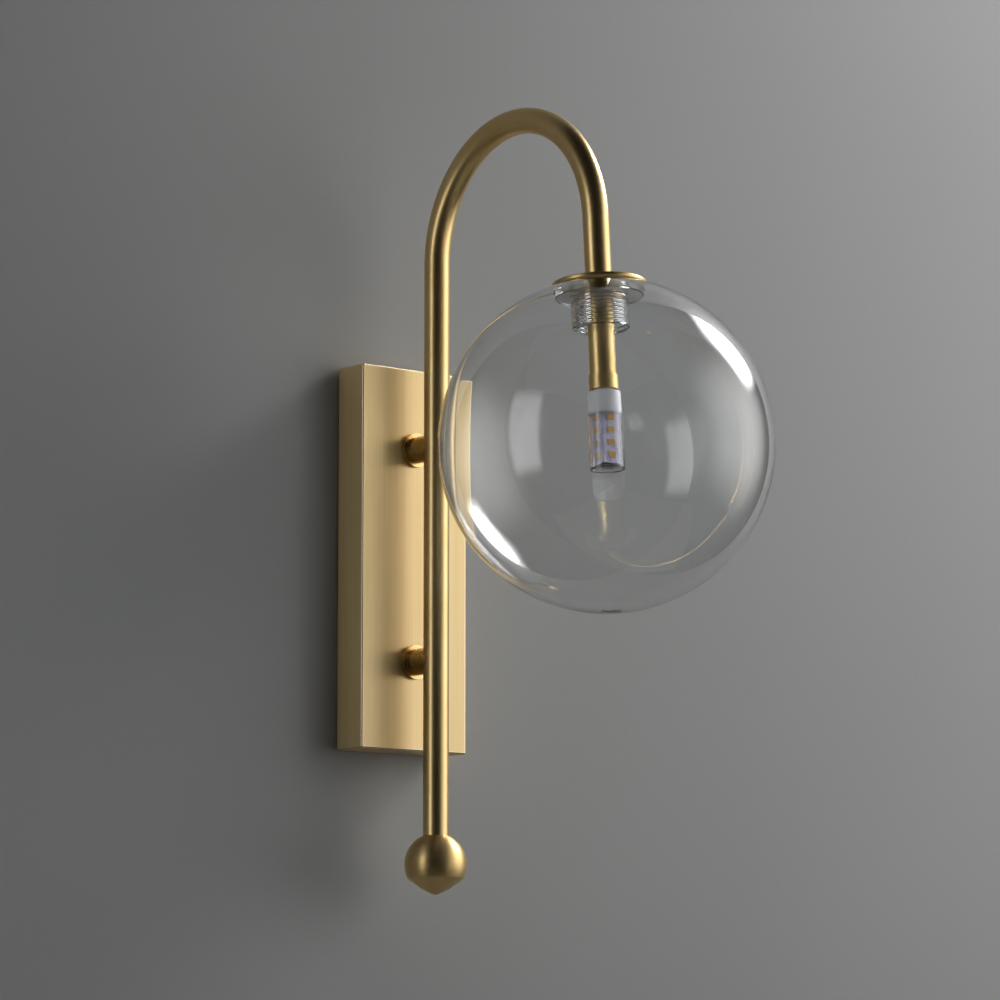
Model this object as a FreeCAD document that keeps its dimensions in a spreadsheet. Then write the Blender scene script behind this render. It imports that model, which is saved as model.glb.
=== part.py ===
"""Globe wall sconce: a brass canopy box on the wall, two stand-offs, a bent brass tube with a ball at
its foot, and a clear glass globe screwed up over a bi-pin LED capsule at the tube's other end.

Frame: the origin is on the wall plane at the middle of the canopy, +X to the right seen from the
room, -Y out into the room, +Z up. Millimetres and degrees. The tube's free leg splays outwards, so
every piece on it is drawn upright about the globe's centre and then tilted with the leg.
"""

import FreeCAD, Part
import math
import os
import re

import Sketcher
from FreeCAD import Placement, Rotation, Vector

doc = FreeCAD.newDocument("globe_wall_sconce")

# ---------------------------------------------------------------- driving dimensions
SIZES = {
    # canopy box and the strap behind it
    "canopy_width": 61.2,
    "canopy_height": 180,
    "canopy_depth": 20,
    "canopy_sheet": 1.2,
    "canopy_edge": 0.8,
    "canopy_back_corner": 1.5,
    "strap_width": 30,
    "strap_sheet": 1.5,
    "strap_end_gap": 0.5,
    "strap_tab_depth": 14,
    "wall_hole": 5,
    "wall_hole_spacing": 120,
    "cover_screw_depth": 10,
    "cover_screw": 3,
    "cover_screw_head": 5,
    "cover_screw_length": 6,
    # mains inlet
    "cable_hole": 16,
    "cable_hole_drop": 36,
    "grommet_bore": 10,
    "grommet_flange": 20,
    "grommet_lip": 2.5,
    # terminal strip
    "block_height": 12,
    "block_width": 16,
    "block_rise": 10,
    "pole_pitch": 9,
    "wire_way": 4,
    "wire_way_height": 5,
    "insert_wall": 0.65,
    "clamp_screw": 2.6,
    "clamp_screw_spacing": 8,
    "block_screw": 3,
    "block_screw_head": 5.2,
    # earth stud
    "earth_side": 9,
    "earth_drop": 18,
    "earth_screw": 4,
    "earth_head": 7,
    "earth_washer": 9,
    "earth_washer_thickness": 1,
    "lug_thickness": 0.8,
    "lug_barrel": 3.2,
    "lug_length": 7,
    # arm
    "tube": 12,
    "tube_wall": 1,
    "tube_reach": 36.5,
    "arch_radius": 58.3,
    "arch_height": 137.1,
    "splay": 3.83,
    "leg_tube": 29.25,
    "foot_drop": 130.2,
    # stand-offs
    "standoff": 12.5,
    "standoff_spacing": 100,
    "standoff_rise": 1.4,
    "flange": 16,
    "flange_thickness": 2,
    "flange_groove": 0.4,
    "stud": 8,
    "stud_bore": 6,
    "stud_seat": 3,
    "stud_end": 11.8,
    "lock_washer": 13,
    "lock_washer_thickness": 1.2,
    "nut_flats": 13,
    "nut_thickness": 4,
    # ball at the foot
    "ball_radius": 14.5,
    "ball_cone_radius": 12.9,
    "ball_shoulder_round": 2,
    "ball_underside_bulge": 0.8,
    "ball_underside_round": 28,
    "ball_tip_round": 5,
    "ball_stud_length": 24,
    # globe
    "globe_radius": 75,
    "globe_wall": 0.8,
    "globe_flat": 3,
    "glass_flange": 40,
    "glass_flange_thickness": 4.4,
    "glass_neck": 26,
    "glass_neck_length": 18.9,
    "glass_round": 0.7,
    # globe thread
    "thread_major": 21.6,
    "thread_depth": 0.8,
    "thread_pitch": 1.8,
    "thread_crest": 0.35,
    "thread_root": 1.1,
    "thread_clearance": 0.25,
    "ring_depth": 6.5,
    # cap and seal
    "cap": 42.5,
    "cap_edge": 2.0,
    "cap_rise": 1.1,
    "cap_round": 0.8,
    "seal_thickness": 0.3,
    "seal_gap": 0.1,
    "seal_outer": 39,
    "nipple_bore": 8,
    "nipple_reach": 7,
    # lampholder
    "socket_length": 33.6,
    "collar": 13.2,
    "collar_length": 6.7,
    "collar_mouth": 10.9,
    "collar_mouth_depth": 4.1,
    "collar_spigot": 4,
    "core": 8.4,
    "core_length": 15.4,
    "core_head": 2.8,
    "core_recess": 1.2,
    "pin_spacing": 4,
    "contact": 1.7,
    "contact_bore": 1,
    "contact_length": 11,
    # lamp capsule
    "lamp_turn": 6.5,
    "pin": 0.7,
    "pin_length": 7,
    "base_gap": 1.2,
    "base_height": 9.6,
    "base_top_width": 14.6,
    "base_bottom_width": 15,
    "base_spigot": 9,
    "lens": 15.7,
    "lens_wall": 0.8,
    "lens_length": 25.6,
    "lens_seat": 1,
    "board_width": 8.6,
    "board_thickness": 0.8,
    "board_gap": 1.8,
    "chip_width": 3.5,
    "chip_height": 2.8,
    "chip_thickness": 0.7,
    "chip_pitch": 5.6,
    "top_chip_drop": 2.6,
    "chips_per_board": 4,
    # wiring and fits
    "wire": 1.8,
    "wire_spread": 3.2,
    "wire_bend": 4,
    "seat_clearance": 0.05,
    "running_clearance": 0.1,
}

sheet = doc.addObject("Spreadsheet::Sheet", "Size")
for row, (name, value) in enumerate(SIZES.items(), 1):
    sheet.set(f"A{row}", name)
    sheet.set(f"B{row}", str(value))
    sheet.setAlias(f"B{row}", name)
doc.recompute()


# ---------------------------------------------------------------- how pieces are drawn
def cells(text):
    """The expression with each size's name turned into its cell in the sheet."""
    return re.sub(r"[a-z_]+", lambda m: "Size." + m[0] if m[0] in SIZES else m[0], text)


def num(text):
    """The value of an expression in the sheet's sizes."""
    value = sheet.evalExpression(cells(text))
    return float(getattr(value, "Value", value))


def bind(obj, **sizes):
    """Ties an object's properties to expressions in the sheet's sizes."""
    for prop, text in sizes.items():
        obj.setExpression(prop, cells(text))


def new_body(name):
    body = doc.addObject("PartDesign::Body", name)
    body.Label = name
    return body


def sketch_on(body, role):
    sketch = body.newObject("Sketcher::SketchObject", body.Name + "_sketch")
    plane = next(f for f in body.Origin.OriginFeatures if f.Role == role)
    sketch.AttachmentSupport = (plane, "")
    sketch.MapMode = "FlatFace"
    return sketch


def pin_point(sketch, shape, end, x, y):
    """Holds one point of a sketch's line or arc at x, y, both expressions."""
    for kind, axis, text in (("DistanceX", -2, x), ("DistanceY", -1, y)):
        if text == "0":
            sketch.addConstraint(Sketcher.Constraint("PointOnObject", shape, end, axis))
        else:
            made = sketch.addConstraint(Sketcher.Constraint(kind, -1, 1, shape, end, num(text)))
            sketch.setExpression(f"Constraints[{made}]", cells(text))


def draw_outline(sketch, corners):
    """A closed outline. A corner is (x, y), or (x, y, centre, way) where an arc about (0, centre)
    leads to the next corner: way is 1 anticlockwise, -1 clockwise."""
    first = sketch.GeometryCount
    points = [Vector(num(c[0]), num(c[1]), 0) for c in corners]
    for i, corner in enumerate(corners):
        start, end = points[i], points[(i + 1) % len(points)]
        if len(corner) == 2:
            sketch.addGeometry(Part.LineSegment(start, end), False)
            continue
        centre = Vector(0, num(corner[2]), 0)
        a, b = (start, end) if corner[3] > 0 else (end, start)
        angles = [math.atan2(p.y - centre.y, p.x - centre.x) for p in (a, b)]
        circle = Part.Circle(centre, Vector(0, 0, 1), (start - centre).Length)
        sketch.addGeometry(Part.ArcOfCircle(circle, *angles), False)
    for i, corner in enumerate(corners):
        j = (i + 1) % len(corners)
        ends = [1 if len(c) == 2 or c[3] > 0 else 2 for c in (corners[i], corners[j])]
        sketch.addConstraint(Sketcher.Constraint("Coincident", first + i, 3 - ends[0], first + j, ends[1]))
        pin_point(sketch, first + i, ends[0], corner[0], corner[1])
        if len(corner) == 4:
            sketch.addConstraint(Sketcher.Constraint("PointOnObject", first + i, 3, -2))


def draw_rectangle(sketch, x_low, y_low, x_high, y_high):
    draw_outline(sketch, [(x_low, y_low), (x_high, y_low), (x_high, y_high), (x_low, y_high)])


def draw_circle(sketch, x, y, radius):
    shape = sketch.addGeometry(Part.Circle(Vector(num(x), num(y), 0), Vector(0, 0, 1), num(radius)), False)
    pin_point(sketch, shape, 3, x, y)
    made = sketch.addConstraint(Sketcher.Constraint("Radius", shape, num(radius)))
    sketch.setExpression(f"Constraints[{made}]", cells(radius))


def pad(body, sketch, length):
    feature = body.newObject("PartDesign::Pad", body.Name + "_pad")
    feature.Profile = sketch
    bind(feature, Length=length)
    return feature


def pocket(body, sketch, depth=None):
    """Cuts along the sketch's normal by depth, or both ways through everything."""
    feature = body.newObject("PartDesign::Pocket", body.Name + "_pocket")
    feature.Profile = sketch
    if depth:
        feature.Reversed = True
        bind(feature, Length=depth)
    else:
        feature.Type = "ThroughAll"
        feature.SideType = "Symmetric"
    return feature


def turned(name, corners):
    """A piece turned on a lathe: its half section, in radius and height, about the Z axis."""
    body = new_body(name)
    sketch = sketch_on(body, "XZ_Plane")
    draw_outline(sketch, corners)
    feature = body.newObject("PartDesign::Revolution", name + "_turned")
    feature.Profile = sketch
    feature.ReferenceAxis = (sketch, ["V_Axis"])
    doc.recompute()
    return body


def ring_of(name, outer, inner, bottom, top):
    return turned(name, [(inner, bottom), (outer, bottom), (outer, top), (inner, top)])


def round_edges(body, radius, wanted):
    """Fillets the edges of a body for which wanted(edge) is true."""
    doc.recompute()
    before = body.Tip
    names = [f"Edge{i}" for i, edge in enumerate(before.Shape.Edges, 1) if wanted(edge)]
    fillet = body.newObject("PartDesign::Fillet", body.Name + "_round")
    fillet.Base = (before, names)
    bind(fillet, Radius=radius)
    doc.recompute()
    return fillet


def circle_at(radius, height):
    """Picks full circles of that radius at that height, both expressions."""
    r, z = num(radius), num(height)

    def wanted(edge):
        if edge.Degenerated or not isinstance(edge.Curve, Part.Circle):
            return False
        return abs(edge.Curve.Radius - r) < 1e-4 and abs(edge.Curve.Center.z - z) < 1e-4

    return wanted


def cylinder(name, radius, height, base=Vector()):
    obj = doc.addObject("Part::Cylinder", name)
    obj.Label = name
    bind(obj, Radius=radius, Height=height)
    obj.Placement.Base = base
    return obj


def cuboid(name, length, width, height, corner):
    """A box whose lowest corner is at corner, three expressions."""
    obj = doc.addObject("Part::Box", name)
    obj.Label = name
    bind(obj, Length=length, Width=width, Height=height)
    obj.Placement.Base = Vector(*(num(c) for c in corner))
    return obj


def cut(name, base, tools):
    """base less every tool."""
    obj = doc.addObject("Part::Cut", name)
    obj.Label = name
    obj.Base = base
    obj.Tool = tools[0] if len(tools) == 1 else group(name + "_tools", tools)
    return obj


def group(name, members):
    """Separate solids kept as one node."""
    obj = doc.addObject("Part::Compound", name)
    obj.Label = name
    obj.Links = members
    return obj


# levels along the leg, above the globe's centre
GLASS_TOP = "(globe_radius - globe_flat)"
CAP_UNDER = f"({GLASS_TOP} + seal_thickness + seal_gap)"
CAP_TOP = f"({CAP_UNDER} + cap_edge + cap_rise)"
RING_BOTTOM = f"({GLASS_TOP} - ring_depth)"
SOCKET_BOTTOM = f"({RING_BOTTOM} - socket_length)"
COLLAR_BOTTOM = f"({SOCKET_BOTTOM} - collar_length)"
BASE_TOP = f"({COLLAR_BOTTOM} - base_gap)"
BASE_BOTTOM = f"({BASE_TOP} - base_height)"
LENS_BOTTOM = f"({BASE_BOTTOM} - lens_length)"

TO_ROOM = Rotation(Vector(1, 0, 0), 90)  # turns a piece's Z axis towards the room, its Y axis up
LEG_TILT = Rotation(Vector(1, 0, 0), -num("splay"))
arch_centre = Vector(0, -num("tube_reach + arch_radius"), num("arch_height"))
leg_up = LEG_TILT.multVec(Vector(0, 0, 1))
leg_start = arch_centre + LEG_TILT.multVec(Vector(0, -num("arch_radius"), 0))
globe_centre = leg_start - leg_up * num(f"leg_tube + {CAP_TOP}")
ON_LEG = Placement(globe_centre, LEG_TILT)
ON_LAMP = ON_LEG * Placement(Vector(), Rotation(Vector(0, 0, 1), -num("lamp_turn")))
kept = []


def keep(obj, placement=None):
    """Puts a finished piece in its place and lists it for export."""
    if placement:
        obj.Placement = placement
    kept.append(obj)
    return obj


def facing_room(x, z):
    """A piece turned about Z becomes one that stands out from the wall at x, z."""
    return Placement(Vector(x, 0, z), TO_ROOM)


# ---------------------------------------------------------------- strap screwed to the wall
STRAP_END = "(canopy_height / 2 - canopy_sheet - strap_end_gap)"
BLOCK_SCREW_SIDE = "(pole_pitch / 2)"


def make_wall_strap():
    """Bent steel strap: flat on the wall, with a tab at each end that takes a canopy screw."""
    body = new_body("wall_strap")
    flat = sketch_on(body, "XZ_Plane")
    draw_rectangle(flat, "-strap_width / 2", "-" + STRAP_END, "strap_width / 2", STRAP_END)
    pad(body, flat, "strap_sheet")
    tabs = sketch_on(body, "XZ_Plane")
    inner = f"{STRAP_END} - strap_sheet"
    draw_rectangle(tabs, "-strap_width / 2", inner, "strap_width / 2", STRAP_END)
    draw_rectangle(tabs, "-strap_width / 2", "-" + STRAP_END, "strap_width / 2", f"-({inner})")
    pad(body, tabs, "strap_tab_depth")
    end = num(STRAP_END)

    def outer_bend(edge):
        box = edge.BoundBox
        level = box.YLength < 1e-6 and box.ZLength < 1e-6
        return level and abs(box.YMax) < 1e-6 and box.ZMax**2 > (end - 0.01) ** 2

    round_edges(body, "strap_sheet", outer_bend)
    holes = sketch_on(body, "XZ_Plane")
    for sign in ("", "-"):
        draw_circle(holes, "0", f"{sign}wall_hole_spacing / 2", "wall_hole / 2")
        draw_circle(holes, f"{sign}{BLOCK_SCREW_SIDE}", "block_rise", "block_screw / 2")
    draw_circle(holes, "0", "-cable_hole_drop", "cable_hole / 2")
    draw_circle(holes, "earth_side", "-earth_drop", "earth_screw / 2 + seat_clearance")
    pocket(body, holes)
    screw_holes = sketch_on(body, "XY_Plane")
    draw_circle(screw_holes, "0", "-cover_screw_depth", "cover_screw / 2")
    pocket(body, screw_holes)
    return keep(body)


def make_grommet():
    """Rubber bush in the strap's cable hole, with its lip on the room side."""
    body = turned(
        "cable_grommet",
        [
            ("grommet_bore / 2", "0"),
            ("cable_hole / 2", "0"),
            ("cable_hole / 2", "strap_sheet"),
            ("grommet_flange / 2", "strap_sheet"),
            ("grommet_flange / 2", "strap_sheet + grommet_lip"),
            ("grommet_bore / 2", "strap_sheet + grommet_lip"),
        ],
    )
    return keep(body, facing_room(0, -num("cable_hole_drop")))


make_wall_strap()
make_grommet()

# ---------------------------------------------------------------- terminal strip and earth
POLES = ("-pole_pitch", "0", "pole_pitch")
WIRE_WAY_DEPTH = "(strap_sheet + wire_way_height)"
BLOCK_BOTTOM = "(block_rise - block_width / 2)"
BLOCK_FRONT = "(strap_sheet + block_height)"


def make_terminal_strip():
    """Moulded three-pole strip with brass inserts, six clamp screws and two fixing screws."""
    block = cuboid(
        "block_solid",
        "3 * pole_pitch + clamp_screw",
        "block_height",
        "block_width",
        ("-(3 * pole_pitch + clamp_screw) / 2", f"-{BLOCK_FRONT}", BLOCK_BOTTOM),
    )
    ways, inserts, wells, clamps, fixings, fixing_holes = [], [], [], [], [], []
    for i, pole in enumerate(POLES):
        foot = Vector(num(pole), -num(WIRE_WAY_DEPTH), num(BLOCK_BOTTOM))
        ways.append(cylinder(f"way_{i}", "wire_way / 2", "block_width", foot))
        sleeve = cylinder(f"sleeve_{i}", "wire_way / 2", "block_width", foot)
        bore = cylinder(f"sleeve_bore_{i}", "wire_way / 2 - insert_wall", "block_width", foot)
        drillings = [bore]
        for j, sign in enumerate((-1, 1)):
            height = num("block_rise") + sign * num("clamp_screw_spacing / 2")
            well = cylinder(f"well_{i}_{j}", "clamp_screw / 2", f"{BLOCK_FRONT} - {WIRE_WAY_DEPTH}")
            well.Placement = Placement(Vector(foot.x, foot.y, height), TO_ROOM)
            wells.append(well)
            drillings.append(well)
            clamp = cylinder(f"clamp_{i}_{j}", "clamp_screw / 2", "block_height / 3")
            clamp.Placement = Placement(Vector(foot.x, foot.y - num("wire / 2"), height), TO_ROOM)
            clamps.append(clamp)
        inserts.append(cut(f"insert_{i}", sleeve, drillings))
    for i, sign in enumerate((-1, 1)):
        x = sign * num(BLOCK_SCREW_SIDE)
        hole = cylinder(f"fixing_hole_{i}", "block_screw / 2", f"{BLOCK_FRONT} + 1")
        hole.Placement = facing_room(x, num("block_rise"))
        fixing_holes.append(hole)
        screw = turned(
            f"fixing_{i}",
            [
                ("0", "0"),
                ("block_screw / 2", "0"),
                ("block_screw / 2", BLOCK_FRONT),
                ("block_screw_head / 2", BLOCK_FRONT),
                ("block_screw_head / 2", f"{BLOCK_FRONT} + block_screw / 2"),
                ("0", f"{BLOCK_FRONT} + block_screw / 2"),
            ],
        )
        screw.Placement = facing_room(x, num("block_rise"))
        fixings.append(screw)
    keep(cut("terminal_block", block, ways + wells + fixing_holes))
    keep(group("terminal_inserts", inserts))
    keep(group("terminal_screws", clamps))
    keep(group("block_screws", fixings))


def make_earth_stud():
    """Washer, ring lug and pan-head screw that bond the strap to earth."""
    place = facing_room(num("earth_side"), -num("earth_drop"))
    washer_top = "(strap_sheet + earth_washer_thickness)"
    lug_top = f"({washer_top} + lug_thickness)"
    keep(ring_of("earth_washer", "earth_washer / 2", "earth_screw / 2", "strap_sheet", washer_top), place)
    ring = ring_of("lug_ring", "earth_washer / 2", "earth_screw / 2", washer_top, lug_top)
    ring.Placement = place
    barrel = cylinder("lug_barrel_solid", "lug_barrel / 2", "lug_length", earth_barrel_foot())
    bore = cylinder("lug_bore", "wire / 2", "lug_length", earth_barrel_foot())
    barrel_tube = cut("lug_tube", barrel, [bore])
    lug = doc.addObject("Part::MultiFuse", "earth_lug")
    lug.Label = "earth_lug"
    lug.Shapes = [ring, barrel_tube]
    keep(lug)
    screw = turned(
        "earth_screw",
        [
            ("0", "0"),
            ("earth_screw / 2", "0"),
            ("earth_screw / 2", lug_top),
            ("earth_head / 2", lug_top),
            ("earth_head / 2 - 1", f"{lug_top} + earth_screw * 0.6"),
            ("0", f"{lug_top} + earth_screw * 0.6"),
        ],
    )
    keep(screw, place)


def earth_barrel_foot():
    """The low end of the lug's barrel: in the lug's ring, just above the screw's head."""
    depth = num("strap_sheet + earth_washer_thickness + lug_barrel / 2 + seat_clearance")
    return Vector(num("earth_side"), -depth, num("earth_washer / 2 - earth_drop - lug_thickness"))


make_terminal_strip()
make_earth_stud()

# ---------------------------------------------------------------- canopy
STUD_HEIGHTS = {
    "upper": "(standoff_rise + standoff_spacing / 2)",
    "lower": "(standoff_rise - standoff_spacing / 2)",
}
STUD_HOLE = "(stud / 2 + seat_clearance)"


def make_canopy():
    """Folded brass box, open to the wall, with two stud holes and two countersunk screw holes."""
    body = new_body("canopy")
    outside = sketch_on(body, "XZ_Plane")
    side, end = "canopy_width / 2", "canopy_height / 2"
    draw_rectangle(outside, "-" + side, "-" + end, side, end)
    pad(body, outside, "canopy_depth")
    depth = num("canopy_depth")

    def outer(edge):
        return edge.BoundBox.YMin < -depth + 1e-6

    def back_corner(edge):
        box = edge.BoundBox
        return abs(box.YMax) < 1e-6 and box.YLength < 1e-6 and box.ZLength < 1e-6

    round_edges(body, "canopy_edge", outer)
    round_edges(body, "canopy_back_corner", back_corner)
    inside = sketch_on(body, "XZ_Plane")
    half_width, half_height = "(canopy_width / 2 - canopy_sheet)", "(canopy_height / 2 - canopy_sheet)"
    draw_rectangle(inside, "-" + half_width, "-" + half_height, half_width, half_height)
    pocket(body, inside, "canopy_depth - canopy_sheet")
    stud_holes = sketch_on(body, "XZ_Plane")
    for height in STUD_HEIGHTS.values():
        draw_circle(stud_holes, "0", height, STUD_HOLE)
    pocket(body, stud_holes)
    keep(body)
    screw_holes = []
    for name, sign in (("top", 1), ("bottom", -1)):
        hole = countersunk(f"{name}_screw_hole", "seat_clearance")
        hole.Placement = cover_screw_place(sign)
        screw_holes.append(hole)
    drilled = cut("backplate_cover", body, screw_holes)
    kept[-1] = drilled


def countersunk(name, clearance="0"):
    """A countersunk screw, head up at height 0, or the hole that such a screw sits in."""
    sink = "(cover_screw_head - cover_screw) / 2"
    return turned(
        name,
        [
            ("0", "0"),
            (f"cover_screw_head / 2 + {clearance}", "0"),
            (f"cover_screw / 2 + {clearance}", f"-{sink}"),
            (f"cover_screw / 2 + {clearance}", "-cover_screw_length"),
            ("0", "-cover_screw_length"),
        ],
    )


def cover_screw_place(sign):
    """Head flush with the canopy's top (sign 1) or bottom (sign -1)."""
    turn = Rotation(Vector(1, 0, 0), 0 if sign > 0 else 180)
    return Placement(Vector(0, -num("cover_screw_depth"), sign * num("canopy_height / 2")), turn)


def make_cover_screws():
    screws = []
    for name, sign in (("top", 1), ("bottom", -1)):
        screw = countersunk(f"{name}_cover_screw")
        screw.Placement = cover_screw_place(sign)
        screws.append(screw)
    keep(group("cover_screws", screws))


make_canopy()
make_cover_screws()

# ---------------------------------------------------------------- stand-offs
FLANGE_FRONT = "(canopy_depth + flange_thickness)"
CANOPY_INSIDE = "(canopy_depth - canopy_sheet)"


def make_standoff(which, height):
    """Grooved flange, turned sleeve saddled to the tube, and the hollow stud that clamps them."""
    place = facing_room(0, num(height))
    flange = turned(
        f"{which}_standoff_flange",
        [
            (STUD_HOLE, "canopy_depth"),
            ("flange / 2", "canopy_depth"),
            ("flange / 2", "canopy_depth + flange_thickness * 0.4"),
            ("flange / 2 - flange_groove", "canopy_depth + flange_thickness / 2"),
            ("flange / 2", "canopy_depth + flange_thickness * 0.6"),
            ("flange / 2", FLANGE_FRONT),
            (STUD_HOLE, FLANGE_FRONT),
        ],
    )
    keep(flange, place)
    sleeve = ring_of(f"{which}_standoff", "standoff / 2", STUD_HOLE, FLANGE_FRONT, "tube_reach")
    saddle = sketch_on(sleeve, "XZ_Plane")
    draw_circle(saddle, "0", "tube_reach", "tube / 2 + seat_clearance")
    pocket(sleeve, saddle)
    # the saddle is cut along the tube, which is the sleeve's Y axis once it faces the room
    keep(sleeve, place)
    keep(ring_of(f"{which}_stud", "stud / 2", "stud_bore / 2", "stud_end", "tube_reach - stud_seat"), place)


def make_stud_fasteners():
    """Split lock washers and hexagon nuts inside the canopy, one of each on each stud."""
    washers, nuts = [], []
    washer_top = CANOPY_INSIDE
    washer_bottom = f"({CANOPY_INSIDE} - lock_washer_thickness)"
    for which, height in STUD_HEIGHTS.items():
        place = facing_room(0, num(height))
        washer = ring_of(f"{which}_lock_washer", "lock_washer / 2", STUD_HOLE, washer_bottom, washer_top)
        slit = sketch_on(washer, "XY_Plane")
        draw_rectangle(slit, "0", "-lock_washer_thickness / 4", "lock_washer", "lock_washer_thickness / 4")
        pocket(washer, slit)
        washer.Placement = place
        washers.append(washer)
        nut = new_body(f"{which}_nut")
        plan = sketch_on(nut, "XY_Plane")
        corner = "nut_flats / sqrt(3)"
        draw_outline(
            plan,
            [
                (corner, "0"),
                (f"{corner} / 2", "nut_flats / 2"),
                (f"-{corner} / 2", "nut_flats / 2"),
                (f"-{corner}", "0"),
                (f"-{corner} / 2", "-nut_flats / 2"),
                (f"{corner} / 2", "-nut_flats / 2"),
            ],
        )
        draw_circle(plan, "0", "0", STUD_HOLE)
        thickness = pad(nut, plan, "nut_thickness")
        thickness.Reversed = False
        nut.Placement = Placement(Vector(0, -num(f"{washer_bottom} - nut_thickness"), num(height)), TO_ROOM)
        nuts.append(nut)
    keep(group("stud_lock_washers", washers))
    keep(group("stud_nuts", nuts))


for which, height in STUD_HEIGHTS.items():
    make_standoff(which, height)
make_stud_fasteners()

# ---------------------------------------------------------------- bent tube
TUBE_BORE = "(tube / 2 - tube_wall)"


def make_arm_tube():
    """One tube: up the front of the canopy, over the arch and down the splayed leg to the cap."""
    body = new_body("arm_tube")
    path = sketch_on(body, "YZ_Plane")
    reach, foot, top = "-tube_reach", "-foot_drop", "arch_height"
    middle = "-(tube_reach + arch_radius)"
    low, spring = Vector(num(reach), num(foot), 0), Vector(num(reach), num(top), 0)
    centre = Vector(num(middle), num(top), 0)
    leg = num("leg_tube")
    turn = math.radians(num("splay"))
    end = centre + Vector(-math.cos(turn), math.sin(turn), 0) * num("arch_radius")
    tip = end + Vector(-math.sin(turn), -math.cos(turn), 0) * leg
    path.addGeometry(Part.LineSegment(low, spring), False)
    circle = Part.Circle(centre, Vector(0, 0, 1), num("arch_radius"))
    path.addGeometry(Part.ArcOfCircle(circle, 0, math.pi - turn), False)
    path.addGeometry(Part.LineSegment(end, tip), False)
    pin_point(path, 0, 1, reach, foot)
    pin_point(path, 0, 2, reach, top)
    path.addConstraint(Sketcher.Constraint("Coincident", 0, 2, 1, 1))
    pin_point(path, 1, 3, middle, top)
    made = path.addConstraint(Sketcher.Constraint("DistanceY", 1, 3, 1, 2, end.y - centre.y))
    path.setExpression(f"Constraints[{made}]", cells("arch_radius * sin(splay * 1 deg)"))
    path.addConstraint(Sketcher.Constraint("Tangent", 1, 2, 2, 1))
    made = path.addConstraint(Sketcher.Constraint("Distance", 2, leg))
    path.setExpression(f"Constraints[{made}]", cells("leg_tube"))
    for kind, radius in (("Additive", "tube / 2"), ("Subtractive", TUBE_BORE)):
        section = sketch_on(body, "XY_Plane")
        section.setExpression("AttachmentOffset.Base.z", cells(foot))
        draw_circle(section, "0", reach, radius)
        pipe = body.newObject(f"PartDesign::{kind}Pipe", f"tube_{kind}")
        pipe.Profile = section
        pipe.Spine = (path, ["Edge1", "Edge2", "Edge3"])
        doc.recompute()
    entries = sketch_on(body, "XZ_Plane")
    for height in STUD_HEIGHTS.values():
        draw_circle(entries, "0", height, STUD_HOLE)
    pocket(body, entries, "tube_reach")
    return keep(body)


make_arm_tube()

# ---------------------------------------------------------------- ball at the tube's foot
BALL_TOP = "sqrt(ball_radius ^ 2 - (tube / 2) ^ 2)"


def make_ball():
    """Turned ball whose underside runs to a blunt point, on a stud screwed into the tube."""
    shoulder = "sqrt(ball_radius ^ 2 - ball_cone_radius ^ 2)"
    middle = f"((ball_radius + {shoulder}) / 2 + ball_underside_bulge)"
    slope = f"atan((ball_radius - {middle}) / (ball_cone_radius / 2))"
    tip_centre = f"(ball_tip_round / cos({slope}) - ball_radius)"
    body = turned(
        "finial_ball",
        [
            (TUBE_BORE, f"{BALL_TOP} - ball_stud_length / 2"),
            (TUBE_BORE, BALL_TOP),
            ("tube / 2", BALL_TOP, "0", -1),
            ("ball_cone_radius", "-" + shoulder),
            ("ball_cone_radius / 2", "-" + middle),
            (
                f"ball_tip_round * sin({slope})",
                f"{tip_centre} - ball_tip_round * cos({slope})",
                tip_centre,
                -1,
            ),
            ("0", f"{tip_centre} - ball_tip_round"),
            ("0", f"{BALL_TOP} - ball_stud_length / 2"),
        ],
    )
    round_edges(body, "ball_shoulder_round", circle_at("ball_cone_radius", "-" + shoulder))
    round_edges(body, "ball_underside_round", circle_at("ball_cone_radius / 2", "-" + middle))
    centre = Vector(0, -num("tube_reach"), -num("foot_drop") - num(BALL_TOP))
    keep(body, Placement(centre, Rotation()))
    stud = cylinder("finial_stud", f"{TUBE_BORE} - seat_clearance", "ball_stud_length")
    keep(stud, Placement(centre + Vector(0, 0, num(f"{BALL_TOP} - ball_stud_length / 2")), Rotation()))


make_ball()

# ---------------------------------------------------------------- cap, thread ring and nipple
THREAD_START = f"({RING_BOTTOM} - 2 * thread_pitch)"


def cut_thread(body, radius_in, radius_out, half_in, half_out, start, length):
    """A helical groove: its section is a trapezium from radius_in to radius_out, centred on start."""
    section = sketch_on(body, "XZ_Plane")
    draw_outline(
        section,
        [
            (radius_in, f"{start} - {half_in}"),
            (radius_out, f"{start} - {half_out}"),
            (radius_out, f"{start} + {half_out}"),
            (radius_in, f"{start} + {half_in}"),
        ],
    )
    helix = body.newObject("PartDesign::SubtractiveHelix", body.Name + "_thread")
    helix.Profile = section
    helix.ReferenceAxis = (section, ["V_Axis"])
    helix.Mode = "pitch-height-angle"
    bind(helix, Pitch="thread_pitch", Height=length)
    doc.recompute()


def make_cap():
    """Shallow turned disc that covers the globe's mouth."""
    body = turned(
        "cap_disc",
        [
            (f"{TUBE_BORE} + seat_clearance", CAP_UNDER),
            ("cap / 2", CAP_UNDER),
            ("cap / 2", f"{CAP_UNDER} + cap_edge"),
            ("tube / 2", CAP_TOP),
            (f"{TUBE_BORE} + seat_clearance", CAP_TOP),
        ],
    )
    upper, lower = circle_at("cap / 2", f"{CAP_UNDER} + cap_edge"), circle_at("cap / 2", CAP_UNDER)
    round_edges(body, "cap_round", lambda edge: upper(edge) or lower(edge))
    return keep(body, ON_LEG)


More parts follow.
